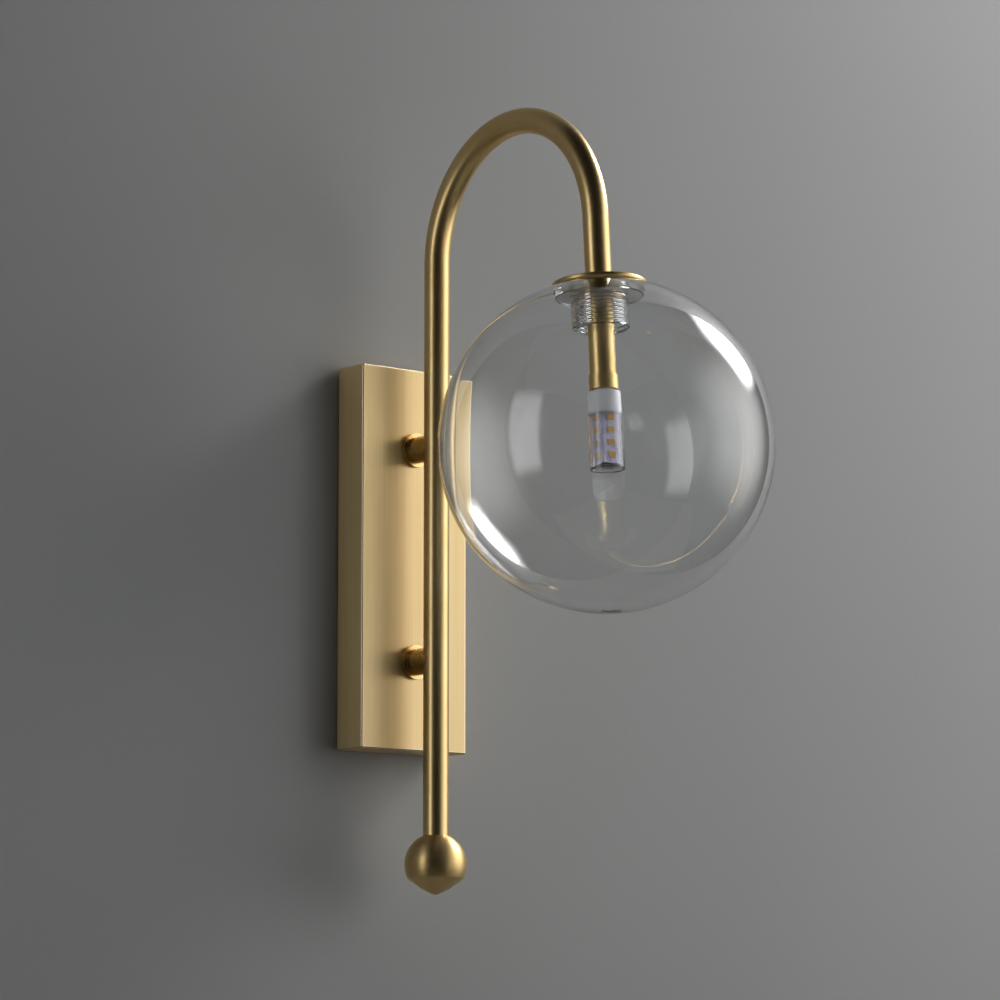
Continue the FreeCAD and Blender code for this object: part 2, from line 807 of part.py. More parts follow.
def make_thread_ring():
    """Brass ring under the cap whose outside thread carries the globe."""
    body = ring_of(
        "globe_thread_ring", "thread_major / 2", f"{TUBE_BORE} + seat_clearance", RING_BOTTOM, CAP_UNDER
    )
    slope = "(thread_root - thread_crest) / 2 / thread_depth"
    past = "0.3"
    cut_thread(
        body,
        "thread_major / 2 - thread_depth",
        f"thread_major / 2 + {past}",
        "(thread_pitch - thread_root) / 2",
        f"((thread_pitch - thread_crest) / 2 + {past} * {slope})",
        f"({THREAD_START} + thread_pitch / 2)",
        f"{CAP_UNDER} - {THREAD_START} + thread_pitch",
    )
    return keep(body, ON_LEG)


def make_nipple():
    """Hollow rod screwed into both tubes, which clamps the cap and the ring between them."""
    body = ring_of(
        "cap_nipple",
        f"{TUBE_BORE} - seat_clearance",
        "nipple_bore / 2",
        f"{RING_BOTTOM} - nipple_reach",
        f"{CAP_TOP} + nipple_reach",
    )
    return keep(body, ON_LEG)


def make_seal():
    """Clear silicone washer that lies on the glass, under the cap."""
    body = ring_of(
        "globe_seal",
        "seal_outer / 2",
        "thread_major / 2 + 2 * thread_clearance",
        f"{GLASS_TOP} + seal_gap / 2",
        f"{GLASS_TOP} + seal_gap / 2 + seal_thickness",
    )
    return keep(body, ON_LEG)


make_cap()
make_thread_ring()
make_nipple()
make_seal()


# ---------------------------------------------------------------- glass globe
def make_globe():
    """Blown ball fused to a pressed collar: flat top, thick flange and a neck threaded inside."""
    inner = "(globe_radius - globe_wall)"
    bore = "(thread_major / 2 - thread_depth + thread_clearance)"
    mouth = f"sqrt(globe_radius ^ 2 - {GLASS_TOP} ^ 2)"
    neck_bottom = f"({GLASS_TOP} - glass_neck_length)"
    flange_bottom = f"({GLASS_TOP} - glass_flange_thickness)"
    body = turned(
        "glass_globe",
        [
            ("0", "-globe_radius", "0", 1),
            (mouth, GLASS_TOP),
            (bore, GLASS_TOP),
            (bore, neck_bottom),
            ("glass_neck / 2", neck_bottom),
            ("glass_neck / 2", flange_bottom),
            ("glass_flange / 2", flange_bottom),
            ("glass_flange / 2", f"sqrt({inner} ^ 2 - (glass_flange / 2) ^ 2)", "0", -1),
            ("0", f"-{inner}"),
        ],
    )
    rims = (
        circle_at(mouth, GLASS_TOP),
        circle_at("glass_neck / 2", neck_bottom),
        circle_at("glass_flange / 2", flange_bottom),
        circle_at("glass_neck / 2", flange_bottom),
    )
    round_edges(body, "glass_round", lambda edge: any(rim(edge) for rim in rims))
    slope = "(thread_root - thread_crest) / 2 / thread_depth"
    half_root = f"(thread_root / 2 - thread_clearance * {slope} + thread_clearance)"
    past = "0.15"
    turns_down = f"ceil(({RING_BOTTOM} - {neck_bottom}) / thread_pitch)"
    start = f"({THREAD_START} - {turns_down} * thread_pitch)"
    cut_thread(
        body,
        f"{bore} - {past}",
        "thread_major / 2 + thread_clearance",
        f"({half_root} + {past} * {slope})",
        f"({half_root} - thread_depth * {slope})",
        start,
        f"{GLASS_TOP} - {start} + 2 * thread_pitch",
    )
    return keep(body, ON_LEG)


make_globe()

# ---------------------------------------------------------------- lampholder
CORE_FACE = f"({COLLAR_BOTTOM} + core_recess)"
CORE_TOP = f"({CORE_FACE} + core_length)"
CORE_SHOULDER = f"({CORE_FACE} + core_head)"


def make_lampholder():
    """Tube below the ring, pressed collar at its end, ceramic core and its two spring contacts."""
    keep(ring_of("socket_tube", "tube / 2", TUBE_BORE, SOCKET_BOTTOM, RING_BOTTOM), ON_LEG)
    mouth_top = f"({COLLAR_BOTTOM} + collar_mouth_depth)"
    core_way = "(core / 2 + seat_clearance)"
    spigot = f"({TUBE_BORE} - seat_clearance)"
    collar = turned(
        "socket_collar",
        [
            ("collar_mouth / 2", COLLAR_BOTTOM),
            ("collar / 2", COLLAR_BOTTOM),
            ("collar / 2", SOCKET_BOTTOM),
            (spigot, SOCKET_BOTTOM),
            (spigot, f"{SOCKET_BOTTOM} + collar_spigot"),
            (core_way, f"{SOCKET_BOTTOM} + collar_spigot"),
            (core_way, mouth_top),
            ("collar_mouth / 2", mouth_top),
        ],
    )
    keep(collar, ON_LEG)
    core = turned(
        "lampholder_core",
        [
            ("0", CORE_FACE),
            ("collar_mouth / 2 - seat_clearance", CORE_FACE),
            ("collar_mouth / 2 - seat_clearance", CORE_SHOULDER),
            ("core / 2", CORE_SHOULDER),
            ("core / 2", CORE_TOP),
            ("0", CORE_TOP),
        ],
    )
    ways = sketch_on(core, "XY_Plane")
    for sign in ("", "-"):
        draw_circle(ways, f"{sign}pin_spacing / 2", "0", "contact / 2 + seat_clearance")
    pocket(core, ways)
    keep(core, ON_LAMP)
    contacts = []
    for i, sign in enumerate(("-", "")):
        contact = new_body(f"contact_{i}")
        section = sketch_on(contact, "XY_Plane")
        section.setExpression("AttachmentOffset.Base.z", cells(f"{CORE_TOP} - contact_length"))
        for radius in ("contact / 2", "contact_bore / 2"):
            draw_circle(section, f"{sign}pin_spacing / 2", "0", radius)
        pad(contact, section, "contact_length")
        contact.Placement = ON_LAMP
        contacts.append(contact)
    keep(group("lampholder_contacts", contacts))


make_lampholder()

# ---------------------------------------------------------------- LED capsule
BASE_STEP = f"({BASE_BOTTOM} - lens_seat)"
BOARD_BOTTOM = f"({LENS_BOTTOM} + board_gap)"
LENS_BORE = "(lens / 2 - lens_wall)"


def make_capsule():
    """White moulded base with two pins, four boards of LED chips and a clear push-on cover."""
    base = turned(
        "bulb_base",
        [
            ("0", BASE_STEP),
            (f"{LENS_BORE} - seat_clearance", BASE_STEP),
            (f"{LENS_BORE} - seat_clearance", BASE_BOTTOM),
            ("base_bottom_width / 2", BASE_BOTTOM),
            ("base_top_width / 2", BASE_TOP),
            ("base_spigot / 2", BASE_TOP),
            ("base_spigot / 2", f"{CORE_FACE} - 2 * running_clearance"),
            ("0", f"{CORE_FACE} - 2 * running_clearance"),
        ],
    )
    keep(base, ON_LAMP)
    pins = []
    pin_foot = num(f"{CORE_FACE} - 2 * running_clearance")
    for i, sign in enumerate((-1, 1)):
        spot = Vector(sign * num("pin_spacing / 2"), 0, pin_foot)
        pin = cylinder(f"pin_{i}", "pin / 2", "pin_length")
        pin.Placement = ON_LAMP * Placement(spot, Rotation())
        pins.append(pin)
    keep(group("bulb_pins", pins))
    boards, chips = [], []
    for i in range(4):
        turn = ON_LAMP * Placement(Vector(), Rotation(Vector(0, 0, 1), 90 * i))
        board = cuboid(
            f"board_{i}",
            "board_width - board_thickness",
            "board_thickness",
            f"{BASE_STEP} - {BOARD_BOTTOM}",
            ("-board_width / 2", "-board_width / 2", BOARD_BOTTOM),
        )
        board.Placement = turn * board.Placement
        boards.append(board)
        for j in range(int(num("chips_per_board"))):
            chip = cuboid(
                f"chip_{i}_{j}",
                "chip_width",
                "chip_thickness",
                "chip_height",
                (
                    "-(chip_width + board_thickness) / 2",
                    "-board_width / 2 - chip_thickness",
                    f"{BASE_BOTTOM} - top_chip_drop - {j} * chip_pitch - chip_height / 2",
                ),
            )
            chip.Placement = turn * chip.Placement
            chips.append(chip)
    keep(group("bulb_boards", boards))
    keep(group("bulb_chips", chips))
    lens = turned(
        "bulb_lens",
        [
            ("0", LENS_BOTTOM),
            ("lens / 2", LENS_BOTTOM),
            ("lens / 2", BASE_BOTTOM),
            (LENS_BORE, BASE_BOTTOM),
            (LENS_BORE, f"{LENS_BOTTOM} + lens_wall"),
            ("0", f"{LENS_BOTTOM} + lens_wall"),
        ],
    )
    round_edges(lens, "lens_wall / 2", circle_at("lens / 2", LENS_BOTTOM))
    keep(lens, ON_LAMP)


make_capsule()


# ---------------------------------------------------------------- wiring inside
def rounded_path(points, radius):
    """Edges of straight runs through points, each corner turned into an arc of that radius."""
    edges, start = [], points[0]
    for before, corner, after in zip(points, points[1:], points[2:]):
        way_in, way_out = (corner - before).normalize(), (after - corner).normalize()
        half_turn = math.acos(max(-1.0, min(1.0, way_in.dot(way_out)))) / 2
        reach = radius * math.tan(half_turn)
        arc_start, arc_end = corner - way_in * reach, corner + way_out * reach
        inward = (way_out - way_in).normalize()
        middle = corner + inward * (radius / math.cos(half_turn) - radius)
        edges.append(Part.LineSegment(start, arc_start).toShape())
        edges.append(Part.Arc(arc_start, middle, arc_end).toShape())
        start = arc_end
    edges.append(Part.LineSegment(start, points[-1]).toShape())
    return edges


def wire_along(name, edges):
    """A round wire swept along joined runs and arcs."""
    path = Part.Wire(edges)
    start = path.Edges[0].firstVertex().Point
    run = path.Edges[0].tangentAt(path.Edges[0].FirstParameter)
    section = Part.Wire(Part.Circle(start, run, num("wire / 2")).toShape())
    obj = doc.addObject("Part::Feature", name)
    obj.Label = name
    obj.Shape = path.makePipeShell([section], True, False)
    solid_volume = math.pi * num("wire / 2") ** 2 * path.Length
    share = obj.Shape.Volume / solid_volume
    print(f"{name}: {path.Length:.1f} mm long, volume {share:.4f} of section times length")
    return keep(obj)


def make_supply_wires():
    """Live and neutral: from the strip, through the upper stud, up the tube, over the arch and down."""
    way_depth, bend = num(WIRE_WAY_DEPTH), num("wire_bend")
    stud_height, reach, top = num(STUD_HEIGHTS["upper"]), num("tube_reach"), num("arch_height")
    leg_end = ON_LEG.multVec(Vector(0, 0, num(CORE_TOP)))
    for name, pole, side in (("live_wire", POLES[0], -1), ("neutral_wire", POLES[1], 1)):
        x = side * num("wire_spread / 2")
        clear = num("block_rise + block_width / 2")
        points = [
            Vector(num(pole), -way_depth, num("block_rise")),
            Vector(num(pole), -way_depth, clear + bend),
            Vector(x, -way_depth, stud_height - 3 * bend),
            Vector(x, -way_depth, stud_height),
            Vector(x, -reach, stud_height),
            Vector(x, -reach, top),
        ]
        edges = rounded_path(points, bend)
        aside = Vector(x, 0, 0)
        spring, crown = points[-1], arch_centre + Vector(x, 0, num("arch_radius"))
        edges.append(Part.Arc(spring, crown, leg_start + aside).toShape())
        edges.append(Part.LineSegment(leg_start + aside, leg_end + aside).toShape())
        wire_along(name, edges)


def make_earth_wire():
    """From the lug's barrel to the strip's third pole."""
    lug_end = earth_barrel_foot() + Vector(0, 0, num("lug_length / 2"))
    way = Vector(num("pole_pitch"), -num(WIRE_WAY_DEPTH), num("block_rise"))
    bend = num("wire_bend")
    gap = way.z - num("block_width / 2") - lug_end.z
    points = [
        lug_end,
        lug_end + Vector(0, 0, gap * 0.4),
        Vector(way.x, way.y, lug_end.z + gap * 0.75),
        way,
    ]
    wire_along("earth_wire", rounded_path(points, 2 * bend))


make_supply_wires()
make_earth_wire()


# ---------------------------------------------------------------- check and export
doc.recompute()
problems = []
for obj in doc.Objects:
    if "Invalid" in obj.State or "Error" in obj.State:
        problems.append(f"{obj.Label}: {obj.State}")
for obj in kept:
    shape = obj.Shape
    if shape.isNull() or not shape.isValid() or not shape.Solids:
        problems.append(f"{obj.Label}: no valid solid")
if problems:
    raise RuntimeError("; ".join(problems))

os.makedirs("parts", exist_ok=True)
for obj in kept:
    obj.Shape.exportStep(f"parts/{obj.Label}.step")
    solids = obj.Shape.Solids
    print(f"{obj.Label:24} {len(solids):3} solids {sum(s.Volume for s in solids) / 1000:9.3f} cm3")
print(f"{len(kept)} nodes; globe centre at {tuple(round(c, 3) for c in globe_centre)}")
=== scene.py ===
"""A brass wall sconce with a clear glass globe, put together piece by piece from the wall outwards.

A folded brass box stands on the wall. Two sleeves hold a bent brass tube in front of it, with a turned
ball at its foot. At the tube's other end a cap, a threaded ring and a small lampholder carry the globe
and the LED capsule inside it.
"""

import math

import bmesh
import bpy
from mathutils import Matrix, Vector


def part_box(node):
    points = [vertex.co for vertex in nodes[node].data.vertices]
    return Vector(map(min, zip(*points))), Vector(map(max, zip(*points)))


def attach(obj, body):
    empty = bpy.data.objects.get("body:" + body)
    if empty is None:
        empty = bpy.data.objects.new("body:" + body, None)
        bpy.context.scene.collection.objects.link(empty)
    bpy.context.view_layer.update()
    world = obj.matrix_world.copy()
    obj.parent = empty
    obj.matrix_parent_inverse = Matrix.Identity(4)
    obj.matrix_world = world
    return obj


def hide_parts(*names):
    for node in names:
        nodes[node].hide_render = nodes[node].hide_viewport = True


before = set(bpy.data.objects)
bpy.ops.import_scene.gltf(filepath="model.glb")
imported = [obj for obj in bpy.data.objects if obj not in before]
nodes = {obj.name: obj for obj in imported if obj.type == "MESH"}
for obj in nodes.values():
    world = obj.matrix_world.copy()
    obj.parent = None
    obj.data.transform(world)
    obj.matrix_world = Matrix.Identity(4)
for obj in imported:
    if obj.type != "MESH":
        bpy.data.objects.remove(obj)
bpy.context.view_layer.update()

# ---------------------------------------------------------------------------------------------------
# The camera. The lamp was photographed from its left and a little below, from 2 m away with a long
# lens, so that its upright edges stay parallel.
camera_turn, camera_rise = math.radians(38.53), math.radians(-8.37)
camera_aim, camera_distance = Vector((0.03507, -0.0400, 0.02896)), 1.99965
towards_camera = Vector(
    (
        -math.sin(camera_turn) * math.cos(camera_rise),
        -math.cos(camera_turn) * math.cos(camera_rise),
        math.sin(camera_rise),
    )
)
camera = bpy.data.objects.new("camera", bpy.data.cameras.new("camera"))
camera.data.sensor_width = 36.0
camera.data.lens = 152.92
camera.location = camera_aim + towards_camera * camera_distance
camera.rotation_euler = (-towards_camera).to_track_quat("-Z", "Y").to_euler()
bpy.context.scene.collection.objects.link(camera)
bpy.context.scene.camera = camera
bpy.context.scene.view_settings.view_transform = "Standard"


# ---------------------------------------------------------------------------------------------------
# The room. A wall painted matt grey carries the lamp, and a pale floor lies well below it. The paint
# was rolled on, which leaves a faint stipple. From behind, the wall is clear, so the lamp's back shows.
def linear(code):
    """A colour written as sRGB hex, as the linear values that a shader takes."""
    channels = [int(code[i : i + 2], 16) / 255 for i in (1, 3, 5)]
    return [c / 12.92 if c <= 0.04045 else ((c + 0.055) / 1.055) ** 2.4 for c in channels] + [1.0]


def add(tree, kind, settings=None, **sockets):
    """Adds a node. A socket is its name or n and its number, and is given a value or (node, output)."""
    made = tree.nodes.new("ShaderNode" + kind)
    for name, value in (settings or {}).items():
        setattr(made, name, value)
    for name, value in sockets.items():
        numbered = name[0] == "n" and name[1:].isdigit()
        socket = made.inputs[int(name[1:])] if numbered else made.inputs[name.replace("_", " ")]
        if isinstance(value, tuple) and isinstance(value[0], bpy.types.Node):
            tree.links.new(value[0].outputs[value[1]], socket)
        else:
            socket.default_value = value
    return made


def blank(name):
    """A new material with an output and nothing else, and its node tree."""
    made = bpy.data.materials.new(name)
    made.use_nodes = True
    made.node_tree.nodes.clear()
    made.node_tree.nodes.new("ShaderNodeOutputMaterial")
    return made, made.node_tree


def surface(tree, shader):
    tree.links.new(shader.outputs[0], tree.nodes["Material Output"].inputs["Surface"])


def stage_sheet(name, corners, paint):
    mesh = bpy.data.meshes.new(name)
    mesh.from_pydata(corners, [], [list(range(len(corners)))])
    mesh.materials.append(paint)
    sheet = bpy.data.objects.new(name, mesh)
    bpy.context.scene.collection.objects.link(sheet)


wall_paint, tree = blank("matt_wall_paint")
place = add(tree, "TexCoord")
# roller marks about 4 mm wide, and clouds of slightly lighter and darker paint about 330 mm wide
stipple = add(tree, "TexNoise", Vector=(place, "Object"), Scale=260.0, Detail=3.0)
cloud = add(tree, "TexNoise", Vector=(place, "Object"), Scale=3.0, Detail=2.0)
shade = add(tree, "MapRange", Value=(cloud, 0), From_Min=0.3, From_Max=0.7, To_Min=0.97, To_Max=1.03)
grey = add(tree, "VectorMath", {"operation": "SCALE"}, n0=linear("#ABACAB")[:3], n3=(shade, 0))
relief = add(tree, "Bump", Height=(stipple, 0), Strength=0.12, Distance=0.0004)
matt = add(tree, "BsdfPrincipled", Base_Color=(grey, 0), Normal=(relief, 0), Roughness=0.62)
facing = add(tree, "NewGeometry")
unseen = add(tree, "BsdfTransparent")
surface(tree, add(tree, "MixShader", n0=(facing, "Backfacing"), n1=(matt, 0), n2=(unseen, 0)))
# the wall is a sheet that ends half a metre to the lamp's left, so that the strip light reaches past it,
# and its face lies a hair behind the box's back, so that the two don't coincide
wall_left, wall_right, wall_top, wall_face, floor_level = -0.5, 0.8, 1.4, 0.0006, -1.9
wall_corners = [
    (wall_left, wall_face, floor_level),
    (wall_right, wall_face, floor_level),
    (wall_right, wall_face, wall_top),
    (wall_left, wall_face, wall_top),
]
stage_sheet("wall", wall_corners, wall_paint)

floor_paint, tree = blank("pale_floor_screed")
place = add(tree, "TexCoord")
grain = add(tree, "TexNoise", Vector=(place, "Object"), Scale=40.0, Detail=6.0)
tone = add(tree, "ValToRGB", Fac=(grain, 0))
tone.color_ramp.elements[0].color, tone.color_ramp.elements[1].color = linear("#C9C8C4"), linear("#D6D5D1")
surface(tree, add(tree, "BsdfPrincipled", Base_Color=(tone, 0), Roughness=0.7))
floor_side, floor_front = 1.6, -2.4
floor_corners = [
    (-floor_side, floor_front, floor_level),
    (floor_side, floor_front, floor_level),
    (floor_side, 0, floor_level),
    (-floor_side, 0, floor_level),
]
stage_sheet("floor", floor_corners, floor_paint)


# ---------------------------------------------------------------------------------------------------
# The light. A large diffused panel on the right is the main light, and a weak one stands in front. A
# strip on the left edges the brass, and one bright lamp high on the right gives the sharp sparkle.
lamp_middle = Vector((0, -0.1, 0.03))


def panel(name, azimuth, elevation, distance, width, height, radiance, softness):
    """A panel at that azimuth from the lamp's middle, 0 straight out from the wall and + to the right.
    It fades towards its edges over softness, as a share of its half width."""
    turn, rise = math.radians(azimuth), math.radians(elevation)
    away = Vector((math.sin(turn) * math.cos(rise), -math.cos(turn) * math.cos(rise), math.sin(rise)))
    light = bpy.data.lights.new(name, "AREA")
    light.shape, light.size, light.size_y = "RECTANGLE", width, height
    light.energy = radiance * math.pi * width * height
    light.use_nodes = True
    tree = light.node_tree
    where = add(tree, "NewGeometry")
    across = add(tree, "SeparateXYZ", Vector=(where, "Parametric"))
    half = 0.5  # half the panel, which counts as 1 wide and 1 high here
    fade = []
    for axis in ("X", "Y"):
        off = add(tree, "Math", {"operation": "SUBTRACT"}, n0=(across, axis), n1=half)
        out = add(tree, "Math", {"operation": "ABSOLUTE"}, n0=(off, 0))
        fade.append(
            add(
                tree,
                "MapRange",
                {"interpolation_type": "SMOOTHSTEP"},
                Value=(out, 0),
                From_Min=half,
                From_Max=half - softness / 2,
            )
        )
    both = add(tree, "Math", {"operation": "MULTIPLY"}, n0=(fade[0], 0), n1=(fade[1], 0))
    tree.nodes["Emission"].inputs["Color"].default_value = linear("#FFFFFF")
    tree.links.new(both.outputs[0], tree.nodes["Emission"].inputs["Strength"])
    stand = bpy.data.objects.new(name, light)
    stand.location = lamp_middle + away * distance
    stand.rotation_euler = away.to_track_quat("Z", "Y").to_euler()
    stand.visible_camera = False
    bpy.context.scene.collection.objects.link(stand)


panel("main_panel", 57, 9, distance=1.15, width=1.86, height=1.80, radiance=2.00, softness=0.85)
panel("front_panel", 18, -6, distance=1.6, width=0.80, height=1.6, radiance=0.60, softness=0.7)
panel("left_strip", -94, 3, distance=1.4, width=0.68, height=1.45, radiance=1.8, softness=0.4)
panel("high_lamp", 89, 36, distance=1.45, width=0.80, height=0.80, radiance=33, softness=1.0)

dusk = bpy.data.worlds.new("room_air")
dusk.use_nodes = True
dusk.node_tree.nodes["Background"].inputs["Color"].default_value = linear("#F4F6FF")
dusk.node_tree.nodes["Background"].inputs["Strength"].default_value = 0.01
bpy.context.scene.world = dusk


# ---------------------------------------------------------------------------------------------------
# Wall strap, washers, nuts and screws: mild steel, bent or headed, then zinc plated and passivated.
# The plating is a cool grey with a soft crystalline mottle and a trace of yellow.
def dress(paint, *names):
    """Gives CAD pieces their finish."""
    for name in names:
        for slot in nodes[name].material_slots:
            slot.material = paint


zinc, tree = blank("zinc_plated_steel")
place = add(tree, "TexCoord")
flake = add(tree, "TexVoronoi", Vector=(place, "Object"), Scale=700.0)  # 1.5 mm, coarser than real
haze = add(tree, "TexNoise", Vector=(place, "Object"), Scale=90.0, Detail=4.0)
tone = add(tree, "ValToRGB", Fac=(haze, 0))
tone.color_ramp.elements[0].position, tone.color_ramp.elements[1].position = 0.35, 0.7
tone.color_ramp.elements[0].color, tone.color_ramp.elements[1].color = linear("#B9BCC2"), linear("#C9C6B8")
gloss = add(tree, "MapRange", Value=(flake, "Distance"), To_Min=0.28, To_Max=0.42)
surface(tree, add(tree, "BsdfPrincipled", Base_Color=(tone, 0), Roughness=(gloss, 0), Metallic=1.0))
dress(zinc, "wall_strap", "stud_lock_washers", "stud_nuts", "block_screws")
dress(zinc, "earth_screw", "earth_washer", "terminal_screws")

# ---------------------------------------------------------------------------------------------------
# Cable grommet: black rubber pressed into the strap's hole. Moulded, dull, with a dusty bloom.
rubber, tree = blank("moulded_black_rubber")
place = add(tree, "TexCoord")
bloom = add(tree, "TexNoise", Vector=(place, "Object"), Scale=400.0, Detail=5.0)
tone = add(tree, "ValToRGB", Fac=(bloom, 0))
tone.color_ramp.elements[0].color, tone.color_ramp.elements[1].color = linear("#1B1B1C"), linear("#2E2E2F")
pores = add(tree, "Bump", Height=(bloom, 0), Strength=0.25, Distance=0.0002)
surface(tree, add(tree, "BsdfPrincipled", Base_Color=(tone, 0), Normal=(pores, 0), Roughness=0.72))
dress(rubber, "cable_grommet")

# ---------------------------------------------------------------------------------------------------
# Terminal block: injection-moulded natural nylon, waxy and slightly see-through, on two screws. Its
# inserts are turned from plain brass, as are the studs and the rods that hold the lamp together.
nylon, tree = blank("moulded_natural_nylon")
place = add(tree, "TexCoord")
flow = add(tree, "TexNoise", Vector=(place, "Object"), Scale=120.0, Detail=3.0, Distortion=0.6)
tone = add(tree, "ValToRGB", Fac=(flow, 0))
tone.color_ramp.elements[0].color, tone.color_ramp.elements[1].color = linear("#DAD7CB"), linear("#EAE8DF")
surface(
    tree,
    add(
        tree,
        "BsdfPrincipled",
        Base_Color=(tone, 0),
        Roughness=0.42,
        Subsurface_Weight=0.2,
        Subsurface_Radius=(0.003, 0.0025, 0.002),
        Subsurface_Scale=0.6,
    ),
)
dress(nylon, "terminal_block")

turned, tree = blank("plain_turned_brass")
place = add(tree, "TexCoord")
stretch = add(tree, "Mapping", Vector=(place, "Object"), Scale=(300.0, 2500.0, 2500.0))
cuts = add(tree, "TexNoise", Vector=(stretch, 0), Scale=1.0, Detail=2.0)  # tool marks, about 0.4 mm
tarnish = add(tree, "TexNoise", Vector=(place, "Object"), Scale=110.0, Detail=4.0)
tone = add(tree, "ValToRGB", Fac=(tarnish, 0))
tone.color_ramp.elements[0].position, tone.color_ramp.elements[1].position = 0.35, 0.75
tone.color_ramp.elements[0].color, tone.color_ramp.elements[1].color = linear("#E2BF7C"), linear("#C49A56")
gloss = add(tree, "MapRange", Value=(cuts, 0), To_Min=0.16, To_Max=0.32)
surface(tree, add(tree, "BsdfPrincipled", Base_Color=(tone, 0), Roughness=(gloss, 0), Metallic=1.0))
dress(turned, "terminal_inserts", "upper_stud", "lower_stud", "finial_stud", "cap_nipple")
dress(turned, "globe_thread_ring", "lampholder_contacts")

# ---------------------------------------------------------------------------------------------------
# Wires: PVC sleeves over copper strands, brown and blue up the tube and green with yellow to earth.
# The sleeves are extruded, so they are smooth and a little glossy, with a faint haze of talc.
for name, sleeve, second in (
    ("live_wire", "#5A3420", "#6B4530"),
    ("neutral_wire", "#2452A0", "#3A66AE"),
    ("earth_wire", "#3E8A3C", "#D8C33A"),
):
    pvc, tree = blank("extruded_pvc_" + name)
    place = add(tree, "TexCoord")
    if name == "earth_wire":
        # yellow stripes about 1.5 mm wide, which lie along the green sleeve where it hangs upright
        stripe = add(tree, "TexWave", Vector=(place, "Object"), Scale=90.0, Distortion=0.0)
        mixed = add(tree, "MapRange", Value=(stripe, "Fac"), From_Min=0.60, From_Max=0.66)
    else:
        haze = add(tree, "TexNoise", Vector=(place, "Object"), Scale=300.0, Detail=4.0)
        mixed = add(tree, "MapRange", Value=(haze, 0), From_Min=0.45, From_Max=0.8)
    tone = add(tree, "Mix", {"data_type": "RGBA"}, n0=(mixed, 0), n6=linear(sleeve), n7=linear(second))
    surface(tree, add(tree, "BsdfPrincipled", Base_Color=(tone, 2), Roughness=0.36))
    dress(pvc, name)

tinned, tree = blank("tinned_copper")
place = add(tree, "TexCoord")
dips = add(tree, "TexNoise", Vector=(place, "Object"), Scale=500.0, Detail=3.0)
tone = add(tree, "ValToRGB", Fac=(dips, 0))
tone.color_ramp.elements[0].color, tone.color_ramp.elements[1].color = linear("#CDCDCB"), linear("#E2E1DD")
wet = add(tree, "Bump", Height=(dips, 0), Strength=0.2, Distance=0.0001)
surface(
    tree, add(tree, "BsdfPrincipled", Base_Color=(tone, 0), Normal=(wet, 0), Roughness=0.3, Metallic=1.0)
)
dress(tinned, "earth_lug")

# ---------------------------------------------------------------------------------------------------
# Backplate cover: 1.2 mm brass sheet folded to a box, its corners filled and dressed, then brushed up
# and down by hand and lacquered. The brushing draws fine upright lines and pulls the light sideways.
box_brass, tree = blank("brushed_lacquered_brass")
place = add(tree, "TexCoord")
# brush lines about 0.5 mm apart and 70 mm long, coarser than the real 0.1 mm so that they show
stretch = add(tree, "Mapping", Vector=(place, "Object"), Scale=(2000.0, 2000.0, 14.0))
lines = add(tree, "TexNoise", Vector=(stretch, 0), Scale=1.0, Detail=3.0, Roughness=0.6)
broad = add(tree, "Mapping", Vector=(place, "Object"), Scale=(260.0, 260.0, 5.0))
passes = add(tree, "TexNoise", Vector=(broad, 0), Scale=1.0, Detail=2.0)  # hand passes, 4 mm wide
tone = add(tree, "ValToRGB", Fac=(passes, 0))
tone.color_ramp.elements[0].position, tone.color_ramp.elements[1].position = 0.3, 0.7
tone.color_ramp.elements[0].color, tone.color_ramp.elements[1].color = linear("#E3C892"), linear("#E9CF9C")
streak = add(tree, "MapRange", Value=(lines, 0), From_Min=0.3, From_Max=0.7, To_Min=0.95, To_Max=1.05)
colour = add(tree, "VectorMath", {"operation": "SCALE"}, n0=(tone, 0), n3=(streak, 0))
gloss = add(tree, "MapRange", Value=(lines, 0), From_Min=0.3, From_Max=0.7, To_Min=0.38, To_Max=0.44)
# along the outer edges, where two sides meet, the sheet has a painted highlight and is smoother
low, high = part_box("backplate_cover")
edge_band_start, edge_band_full = 0.0012, 0.0003  # from the edge inwards
apart = add(tree, "SeparateXYZ", Vector=(place, "Object"))
near = []
for axis, side in (("X", high.x), ("Y", -low.y), ("Z", high.z)):
    out = add(tree, "Math", {"operation": "ABSOLUTE"}, n0=(apart, axis))
    near.append(
        add(tree, "MapRange", Value=(out, 0), From_Min=side - edge_band_start, From_Max=side - edge_band_full)
    )
two = add(tree, "Math", {"operation": "ADD"}, n0=(near[0], 0), n1=(near[1], 0))
three = add(tree, "Math", {"operation": "ADD"}, n0=(two, 0), n1=(near[2], 0))
edge_highlight_and_polish = add(tree, "MapRange", Value=(three, 0), From_Min=1.0, From_Max=2.0)
# painted highlight: the edge band's colour is mixed towards a pale gold
painted_edge_highlight = add(tree, "Mix", {"data_type": "RGBA"}, n0=(edge_highlight_and_polish, 0), n6=(colour, 0), n7=linear("#FBE8C4"))
smoothed = add(tree, "Mix", n0=(edge_highlight_and_polish, 0), n2=(gloss, 0), n3=0.26)
ridges = add(tree, "Bump", Height=(lines, 0), Strength=0.1, Distance=0.0001)
sideways = add(tree, "Tangent", {"direction_type": "RADIAL", "axis": "Z"})
surface(
    tree,
    add(
        tree,
        "BsdfPrincipled",
        Base_Color=(painted_edge_highlight, 2),
        Roughness=(smoothed, 0),
        Normal=(ridges, 0),
        Tangent=(sideways, 0),
        Anisotropic=0.8,
        Metallic=1.0,
        Coat_Weight=0.1,
        Coat_Roughness=0.25,
    ),
)
dress(box_brass, "backplate_cover")


